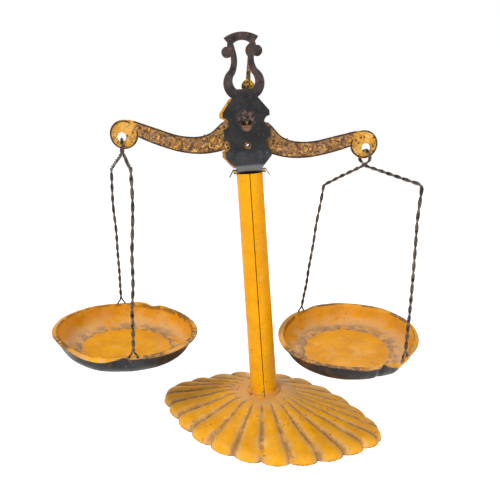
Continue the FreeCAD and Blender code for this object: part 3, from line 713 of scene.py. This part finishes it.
def make_base(materials):
    """The pressed base: rounded flutes with narrow valleys, a rolled edge and a flat boss."""
    roundness = 0.62
    crest_lift, valley_drop, groove_depth = 0.25, 1.15, 1.25
    full_groove_width = 9 * MM
    edge_lift = 0.18 * MM
    lean_reach = 0.22
    valleys = base_valleys()
    shares = [i / 46 for i in range(44)] + [0.955, 0.965, 0.975, 0.983, 0.99, 0.996, 1.0]
    inner_rings = [-1.0, -0.5]
    random.seed(7)
    strengths = [random.uniform(0.75, 1.15) for _ in valleys]
    vertices, valley_mask, rise_mask = [], [], []
    columns = len(valleys) * FLUTE_STEPS
    for ring in inner_rings + shares:
        share = max(ring, 0.0)
        for column in range(columns):
            index, step = divmod(column, FLUTE_STEPS)
            following = (index + 1) % len(valleys)
            fraction = step / FLUTE_STEPS
            start, end = valleys[index], valleys[following]
            chord = start.lerp(end, fraction)
            outward = chord.normalized()
            width = (end - start).length
            round_top = math.sin(math.pi * fraction) ** roundness
            reach = lerp(BOSS_RADIUS, chord.length, share)
            reach += interpolate(FLUTE_BULGES, share) * width * round_top * reach / chord.length
            if ring < 0:
                reach = lerp(BOSS_RADIUS, BASE_BORE, -ring)
            point = outward * reach
            point.rotate(Matrix.Rotation(BASE_TURN, 3, "Z"))
            point.x += share * BASE_SHIFT
            level = interpolate(BASE_HEIGHTS, share) * BOSS_HEIGHT
            strength = lerp(strengths[index], strengths[following], fraction)
            groove = interpolate(VALLEY_DEPTHS, share) * strength * min(1.0, width / full_groove_width)
            level += (crest_lift - (1 - round_top) * valley_drop) * groove * MM * groove_depth
            dents = noise.noise(point * 90) * 0.5 + noise.noise(point * 260) * 0.2
            level += dents * MM * smooth_step(0.0, 0.3, share) * smooth_step(1.0, 0.9, share)
            # the boss is square to the leaning column
            lean_share = max(0.0, 1 - share / lean_reach)
            level += point.x * math.sin(LEAN) * lean_share
            point.z = min(max(level, edge_lift), BOSS_HEIGHT + BOSS_RADIUS * math.sin(LEAN))
            vertices.append(point)
            valley_mask.append((1 - round_top) * smooth_step(0.02, 0.2, share))
            rise_mask.append(interpolate(BASE_HEIGHTS, share))
    rows = len(inner_rings) + len(shares)
    faces = [tuple(reversed(face)) for face in grid_faces(rows, columns)]
    base = new_object("base_pressed", vertices, faces, materials)
    add_masks(base, valley=valley_mask, rise=rise_mask)
    return thicken(base, inner_slot=1)


def add_masks(piece, **masks):
    """Stores one value for each vertex under each name, for the materials."""
    for name, values in masks.items():
        layer = piece.data.attributes.new(name, "FLOAT", "POINT")
        layer.data.foreach_set("value", values)


def thicken(piece, inner_slot, rim_slot=0):
    """Gives a sheet its thickness on the side its faces turn away from."""
    sheet = piece.modifiers.new("sheet", "SOLIDIFY")
    sheet.thickness = TIN
    sheet.offset = -1
    sheet.use_even_offset = False
    sheet.material_offset = inner_slot
    sheet.material_offset_rim = rim_slot
    return applied(piece)


# ---------------- pans
PAN_RADIUS = 33.8 * MM
PAN_ROCK = {"left": math.radians(-2.4), "right": math.radians(7.0)}
PAN_MASS_DROP = 6.55 * MM
PAN_COLUMNS = 576
# the dish's outline in mm: (radius, height above the rim); its lip starts at LIP_START
PAN_FLOOR = -9.6
LIP_START = 31.3
PAN_PROFILE = [(0, PAN_FLOOR), (22, PAN_FLOOR), (24, -9.55), (25.5, -9.3), (27, -8.75), (28.1, -8.05),
               (29, -7.05), (29.7, -5.9), (30.1, -4.5), (30.5, -2.7), (30.8, -1.3), (31.0, -0.5),
               (LIP_START, 0.0), (31.8, 0.16), (33.9, 0.2)]
# dents of each rim: (direction in degrees, half width in degrees, turn-down of the lip in degrees,
# lift of the wall in mm, outward push in mm)
RIM_DENTS = {
    "left": [(-104, 22, 66, -0.7, 0.3), (-82, 6, -10, 0.3, -0.4), (90, 13, 0, 0.7, 0.2), (66, 9, 8, 0.6, 0.1),
             (77, 7, 14, -0.3, 0.0), (175, 40, 6, 0.0, 0.2), (20, 30, 10, -0.2, 0.0), (-40, 25, 8, 0.0, -0.3),
             (-145, 16, -12, 0.2, -0.2), (130, 25, 8, 0.3, 0.0)],
    "right": [(-115, 34, -14, 0.2, -0.4), (-75, 4, -10, 0.7, -0.8), (-59, 14, 56, -1.5, 0.5),
              (-12, 24, 14, -0.1, 0.1), (150, 35, 6, 0.2, 0.2), (75, 30, 12, 0.2, 0.0),
              (-165, 22, 4, 0.0, 0.0), (120, 12, 8, -0.3, 0.0)],
}
# where the lip is rubbed dark: (direction in degrees, half width in degrees)
DARK_LIPS = {
    "left": [(-140, 22), (-60, 16), (40, 34), (-10, 30)],
    "right": [(-112, 40), (-150, 25), (20, 22), (95, 26), (60, 20)],
}


def rim_shape(side, direction, heading, seed):
    """The lip's turn-down in degrees and the wall's lift and outward push in mm, in one direction."""
    lip_angle = 8 + 10 * noise.noise(direction * 2.3 + seed)
    lift = 0.35 * noise.noise(direction * 1.6 + seed * 2) + 0.12 * noise.noise(direction * 6 + seed)
    push = 0.12 * noise.noise(direction * 2.2 - seed)
    for where, half, down, raised, out in RIM_DENTS[side]:
        weight = bump_curve(angle_between(heading, where), half)
        lip_angle += down * weight
        lift += raised * weight
        push += out * weight
    return lip_angle, lift, push


def pierced(vertices, faces, place):
    """The faces that are left once the two holes at each foot are cut."""
    hole_radius = 0.62 * MM
    holes = [Vector((x * FOOT_REACH, y * FOOT_RING, 0)) for x in (-1, 1) for y in (-1, 1)]
    unplaced = place.inverted()
    local = [unplaced @ v for v in vertices]
    kept = []
    for face in faces:
        middle = sum((local[i] for i in face), Vector()) / len(face)
        middle.z = 0
        if all((middle - hole).length > hole_radius for hole in holes):
            kept.append(face)
    return kept


def make_pan(side, materials):
    """A pressed dish: flat floor with a scalloped ring and a dimple, and a crumpled rim."""
    feet, along, rock = FEET[side], ALONG[side], PAN_ROCK[side]
    turn = math.atan2(along.y, along.x)
    place = Matrix.Translation(feet) @ Matrix.Rotation(turn, 4, "Z") @ Matrix.Rotation(rock, 4, "X")
    off_line = PAN_MASS_DROP * math.tan(rock)
    steepest_lip = 85
    ring_radius, scallops, scallop_depth = 23.2, 18, 1.3
    ridge_height, ridge_width, floor_drop = 0.28, 0.55, 0.22
    dimple_depth, dimple_radius = 0.35, 1.3
    shade_inset, shade_width = 0.9, 0.7
    # rings of vertices: wide apart on the floor and close together over the turn and the rim
    radii = [i * 0.75 for i in range(1, 24)]
    radii += [17.6 + i * 0.42 for i in range(28)]
    radii += [29.5 + i * 0.25 for i in range(18)]
    seed = Vector((3.1, 7.7, 1.3)) * (2 if side == "left" else 5)
    vertices = [place @ Vector((0, -off_line, PAN_FLOOR * MM))]
    ring_shade_mask, lip_mask = [0.0], [0.0]
    for radius in radii:
        for column in range(PAN_COLUMNS):
            angle = math.tau * column / PAN_COLUMNS
            heading = math.degrees(angle + turn)
            direction = Vector((math.cos(angle), math.sin(angle), 0))
            wall = smooth_step(25, 31.5, radius)
            lip_angle, lift, push = rim_shape(side, direction, heading, seed)
            height = interpolate(PAN_PROFILE, radius)
            reach = radius
            if radius > LIP_START:
                bend = math.radians(min(lip_angle, steepest_lip))
                past = radius - LIP_START
                reach = LIP_START + past * math.cos(bend)
                height = interpolate(PAN_PROFILE, LIP_START) + 0.15 - past * math.sin(bend)
            height += lift * wall
            reach += push * wall
            # the pressed ring, its scallops and the dimple in the middle
            crest = ring_radius - scallop_depth * abs(math.sin(scallops / 2 * angle)) ** 0.8
            ridge = math.exp(-((radius - crest) / ridge_width) ** 2)
            inside = smooth_step(crest + 0.4, crest - 0.6, radius)
            height += ridge_height * ridge - floor_drop * inside
            height -= dimple_depth * math.exp(-(radius / dimple_radius) ** 2)
            height += 0.22 * noise.noise(direction * radius * 0.12 + seed) * (1 - wall)
            point = direction * min(reach, PAN_RADIUS / MM) * MM
            vertices.append(place @ (point + Vector((0, -off_line, height * MM))))
            # a band of painted shade just inside the ring's crest, used by the pan's paint
            ring_shade_mask.append(math.exp(-((radius - crest + shade_inset) / shade_width) ** 2))
            dark = max(bump_curve(angle_between(heading, where), half) for where, half in DARK_LIPS[side])
            lip_mask.append(dark * smooth_step(30.9, 31.4, radius))
    faces = [(0, 1 + column, 1 + (column + 1) % PAN_COLUMNS) for column in range(PAN_COLUMNS)]
    faces += [tuple(1 + i for i in reversed(face)) for face in grid_faces(len(radii), PAN_COLUMNS)]
    pan = new_object(side + "_pan_dish", vertices, pierced(vertices, faces, place), materials)
    add_masks(pan, ring=ring_shade_mask, lip=lip_mask)
    return thicken(pan, inner_slot=1, rim_slot=2)


# ---------------- bails
# each shoulder in its bail's frame: along the bail, out of its plane and up, in mm
SHOULDERS = {
    "left": {"front": (27.6, 1.2, -9.9), "back": (-27.7, -3.6, -16.0)},
    "right": {"front": (30.0, 0.2, -12.3), "back": (-23.7, 0.5, -18.8)},
}
CROSSING_DROP = 7.2 * MM
EYE_HALF_WIDTH = 3.7 * MM
EYE_DROP = 4.2 * MM
EYE_TOP = 0.96 * MM
EYE_APART = 0.86 * MM
PARTING = 2.6 * MM
TWIST_PITCH = 9.4 * MM
WIRE_STEP = 0.45 * MM
WIRE_SEGMENTS = 10
# bend radii in mm, from the front shoulder over the eye to the back shoulder
BEND_RADII = (1.9, 3.0, 1.4, 1.5, 1.4, 3.0, 1.9)


def rounded(points, radii, spacing):
    """Points along straight runs with round corners, about evenly spaced."""
    path = [points[0]]
    for index in range(1, len(points) - 1):
        corner = points[index]
        back = (points[index - 1] - corner).normalized()
        ahead = (points[index + 1] - corner).normalized()
        half = back.angle(ahead) / 2
        radius = radii[index - 1]
        setback = radius / math.tan(half)
        start, end = corner + back * setback, corner + ahead * setback
        centre = corner + (back + ahead).normalized() * (radius / math.sin(half))
        pieces = max(3, int((math.pi - 2 * half) * radius / spacing))
        for step in range(pieces + 1):
            turned = (start - centre).slerp(end - centre, step / pieces)
            path.append(centre + turned.normalized() * radius)
    path.append(points[-1])
    even = [path[0]]
    for a, b in zip(path, path[1:]):
        pieces = max(1, int((b - a).length / spacing))
        even.extend(a.lerp(b, (i + 1) / pieces) for i in range(pieces))
    return even


def bail_path(side, drop):
    """The bail's middle line in its own frame, from the front foot over the eye to the back foot."""
    front, back = (Vector(SHOULDERS[side][key]) * MM for key in ("front", "back"))
    front_foot, back_foot = (Vector((end * FOOT_REACH, 0, -drop)) for end in (1, -1))
    route = [
        front_foot + (front - front_foot).normalized() * PARTING,
        front,
        (0, EYE_APART, -CROSSING_DROP),
        (-EYE_HALF_WIDTH, EYE_APART / 3, -EYE_DROP),
        (0, 0, EYE_TOP),
        (EYE_HALF_WIDTH, -EYE_APART / 3, -EYE_DROP),
        (0, -EYE_APART, -CROSSING_DROP),
        back,
        back_foot + (back - back_foot).normalized() * PARTING,
    ]
    return rounded([Vector(point) for point in route], [r * MM for r in BEND_RADII], WIRE_STEP)


def twisted(path, seed):
    """Two strands twisted round the path, with the unevenness of wire bent by hand."""
    still_end = 15 * MM
    still_eye, free_leg = 6 * MM, 22 * MM
    wander_size, wander_scale = 0.7, 60
    uneven_twist = 0.012
    lengths = [0.0]
    for a, b in zip(path, path[1:]):
        lengths.append(lengths[-1] + (b - a).length)
    total = lengths[-1]
    middle = total / 2
    turns = round(total / TWIST_PITCH)
    strands = [[], []]
    for index, point in enumerate(path):
        at = lengths[index]
        ahead = path[min(index + 1, len(path) - 1)]
        behind = path[max(index - 1, 0)]
        direction = (ahead - behind).normalized()
        across = direction.cross(Vector((0, 1, 0))).normalized()
        outward = across.cross(direction).normalized()
        free = smooth_step(0, still_end, at) * smooth_step(total, total - still_end, at)
        free *= smooth_step(still_eye, free_leg, abs(at - middle))
        wobble = Vector((noise.noise(seed + point * wander_scale),
                         noise.noise(seed * 2 + point * wander_scale), 0))
        wander = wobble * wander_size * MM * free
        # the twist is a little tighter at the feet and the eye than half-way up the legs
        ease = at / total + uneven_twist * math.sin(4 * math.pi * at / total)
        phase = math.tau * turns * ease
        for sign, strand in zip((-1, 1), strands):
            offset = (outward * math.cos(phase) + across * math.sin(phase)) * STRAND * sign
            strand.append(point + offset + wander)
    return strands


def foot_points(sign, end, rim):
    """One strand's way through its hole and round under the rim, from the twist outwards."""
    entry_height, hole_height = 2.4, 0.3
    inset = 0.2 * MM
    parting_steps, ring_steps = 6, 6
    ring_turn = math.radians(78)
    x = end * FOOT_REACH
    points = []
    for step in range(1, parting_steps):
        share = step / parting_steps
        spread = lerp(STRAND, FOOT_RING, smooth_step(0, 1, share))
        height = rim + lerp(entry_height, hole_height, share) * MM
        points.append(Vector((x - end * inset * (1 - share), sign * spread, height)))
    for step in range(ring_steps + 1):
        angle = step / ring_steps * ring_turn
        points.append(Vector((x, sign * FOOT_RING * math.cos(angle), rim - FOOT_RING * math.sin(angle))))
    return points


def ease_corners(points):
    """The same run of points with its corners taken off."""
    for _ in range(2):
        inner = [(a + b * 2 + c) / 4 for a, b, c in zip(points, points[1:], points[2:])]
        points = [points[0]] + inner + [points[-1]]
    return points


def make_bail(side, material):
    """Two strands twisted together, bent to the bail's outline, parting at each foot."""
    drop = HANG[side].z - FEET[side].z
    seed = Vector((1.7, 4.1, 0.6)) * (3 if side == "left" else 8)
    strands = twisted(bail_path(side, drop), seed)
    turn = math.atan2(ALONG[side].y, ALONG[side].x)
    place = Matrix.Translation(HANG[side]) @ Matrix.Rotation(turn, 4, "Z")
    vertices, faces = [], []
    for sign, strand in zip((-1, 1), strands):
        whole = foot_points(sign, 1, -drop)[::-1] + strand + foot_points(sign, -1, -drop)
        tube(vertices, faces, [place @ point for point in ease_corners(whole)], STRAND, WIRE_SEGMENTS)
    return new_object(side + "_bail_wire", vertices, faces, [material])


# ---------------- beam relief
BEAM_REACH = abs(HANG["left"].x - PIVOT.x)
RELIEF_LEVEL = 0.27 * MM
RELIEF_SEGMENTS = 6
BEAD_RADIUS = 0.3 * MM
SCROLLS = 6


def beam_edges():
    """A function that gives the beam's lowest and highest edge at a place along it."""
    clear = 0.05
    tree = BVHTree.FromObject(frame["nodes"]["beam"], bpy.context.evaluated_depsgraph_get())

    def edges(x):
        above = tree.ray_cast(Vector((x, 0, PIVOT.z + clear)), Vector((0, 0, -1)))[0]
        below = tree.ray_cast(Vector((x, 0, PIVOT.z - clear)), Vector((0, 0, 1)))[0]
        return below.z, above.z

    return edges


def edge_bead(edges, sign, y, upper):
    """The line of the bead just inside an arm's upper or lower edge."""
    count = 90
    start, stop, inset = 10.6 * MM, 5.2 * MM, 0.42 * MM
    line = []
    for step in range(count):
        x = PIVOT.x + sign * lerp(start, BEAM_REACH - stop, step / (count - 1))
        low, high = edges(x)
        line.append(Vector((x, y, high - inset if upper else low + inset)))
    return line


def ring_bead(sign, y):
    """The line of the bead round the ring end, open where the arm meets it."""
    count = 60
    radius = 5.75 * MM
    centre = PIVOT + Vector((sign * 52.9 * MM, 0, -6.15 * MM))
    line = []
    for step in range(count):
        angle = math.radians(lerp(112, -196, step / (count - 1)))
        line.append(Vector((centre.x + sign * math.cos(angle) * radius, y,
                            centre.z + math.sin(angle) * radius)))
    return line


def scroll_place(edges, sign, y, index):
    """The middle of a scroll on the arm, and the height of the arm there."""
    start, stop = 13.5 * MM, 8.0 * MM
    x = PIVOT.x + sign * lerp(start, BEAM_REACH - stop, index / (SCROLLS - 1))
    low, high = edges(x)
    return Vector((x, y, (low + high) / 2)), high - low


def scroll(centre, size, sign, up):
    """A spiral that winds inwards, and its thickness at each point."""
    count, turns, winding, stretch = 34, 1.55, 0.78, 1.15
    line, thickness = [], []
    for step in range(count):
        share = step / (count - 1)
        angle = share * turns * math.tau
        radius = size * (1 - winding * share)
        line.append(centre + Vector((math.cos(angle) * sign * radius * stretch, 0,
                                     math.sin(angle) * up * radius)))
        thickness.append(lerp(0.34, 0.2, share) * MM)
    return line, thickness


def leaf(centre, goal, size, up):
    """The leaf that joins a scroll to the next one, thickest in its middle."""
    count, swing = 14, 0.95
    line, thickness = [], []
    for step in range(count):
        share = step / (count - 1)
        point = centre.lerp(goal, lerp(0.28, 0.78, share))
        point.z += up * size * swing * math.cos(math.pi * share)
        line.append(point)
        thickness.append((0.12 + 0.3 * math.sin(math.pi * share)) * MM)
    return line, thickness


def make_beam_relief(scroll_paint, line_paint):
    """Raised scrolls along each arm and a fine bead along the edges, on both faces."""
    margin = 0.75 * MM
    edges = beam_edges()
    pieces = []
    for side, sign in SIDES.items():
        scroll_mesh, bead_mesh = ([], []), ([], [])
        for front in (-1, 1):
            y = front * RELIEF_LEVEL
            beads = [edge_bead(edges, sign, y, upper=False), edge_bead(edges, sign, y, upper=True)]
            for line in beads + [ring_bead(sign, y)]:
                tube(*bead_mesh, line, BEAD_RADIUS, RELIEF_SEGMENTS)
            for index in range(SCROLLS):
                centre, height = scroll_place(edges, sign, y, index)
                size = height * 0.5 - margin
                up = 1 if index % 2 else -1
                tube(*scroll_mesh, *scroll(centre, size, sign, up), RELIEF_SEGMENTS)
                if index < SCROLLS - 1:
                    goal, _ = scroll_place(edges, sign, y, index + 1)
                    tube(*scroll_mesh, *leaf(centre, goal, size, up), RELIEF_SEGMENTS)
        pieces.append(new_object(side + "_beam_scrolls", *scroll_mesh, [scroll_paint]))
        pieces.append(new_object(side + "_beam_bead", *bead_mesh, [line_paint]))
    return pieces


# ---------------- build
make_camera()
make_studio()

bare_tin = metal_material("bare_tin", 81, rgb(150, 142, 134), rgb(84, 78, 72), rust=0.6)
steel = metal_material("steel", 83, rgb(120, 112, 106), rgb(66, 60, 56), rust=0.7)
brass = metal_material("brass_eyelet", 85, rgb(140, 108, 66), rgb(70, 52, 36), rust=0.5)
wire = metal_material("wire", 87, rgb(112, 102, 94), rgb(44, 38, 34), rust=0.4, metallic=0.7, rough=0.36)
node_materials = {
    "column_tube": column_material(),
    "foot_washer": bare_tin,
    "front_plate": japan_material("front_japan", 100, inner_yellow=False),
    "back_plate": japan_material("back_japan", 120, inner_yellow=True),
    "plate_spacer": bare_tin,
    "plate_eyelet": brass,
    "beam": beam_material(),
    "knife_edge": steel,
    "pointer": pointer_material(),
    "pointer_rivets": bare_tin,
}
for node_name, material in node_materials.items():
    node = frame["nodes"][node_name]
    node.data.materials.clear()
    node.data.materials.append(material)

base = make_base([base_material(), underside_material()])
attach(base, "stand")
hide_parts("base_shell")

for side in SIDES:
    seed = 140 if side == "left" else 160
    pan = make_pan(side, [pan_inside(side, seed), pan_outside(side, seed + 10), pan_edge(side, seed + 15)])
    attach(pan, side + "_pan")
    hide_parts(side + "_pan")
    bail = make_bail(side, wire)
    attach(bail, side + "_bail")
    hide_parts(side + "_bail")

for piece in make_beam_relief(relief_material(), edge_line_material()):
    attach(piece, "beam")
